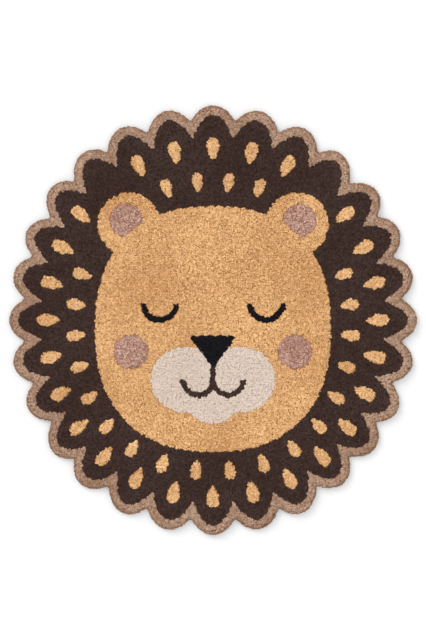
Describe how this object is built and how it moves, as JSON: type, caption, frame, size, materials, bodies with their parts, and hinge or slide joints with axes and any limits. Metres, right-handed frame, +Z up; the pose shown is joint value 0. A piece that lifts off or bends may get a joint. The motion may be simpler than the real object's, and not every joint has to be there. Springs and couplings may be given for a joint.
{
  "type": "kids rug",
  "caption": "Flat tufted floor rug for a child's room, cut out as a lion's head with a scalloped mane, in short cut cotton pile.",
  "frame": {"origin": "on the floor, under the middle of the rug", "axes": "+Z up out of the pile, +Y towards the top of the lion's head, +X to the right as seen from above"},
  "size_m": [1, 1.053, 0.0152],
  "materials": {
    "yarn_face": "matt cut cotton pile, warm ochre",
    "yarn_mane": "matt cut cotton pile, dark brown",
    "yarn_border": "matt cut cotton pile, taupe",
    "yarn_blush": "matt cut cotton pile, dusty mauve",
    "yarn_cream": "matt cut cotton pile, cream",
    "yarn_black": "matt cut cotton pile, black",
    "backing": "plain woven cotton backing, natural"
  },
  "bodies": {
    "root": {"tufted_rug": "yarn_face"}
  },
  "joints": []
}
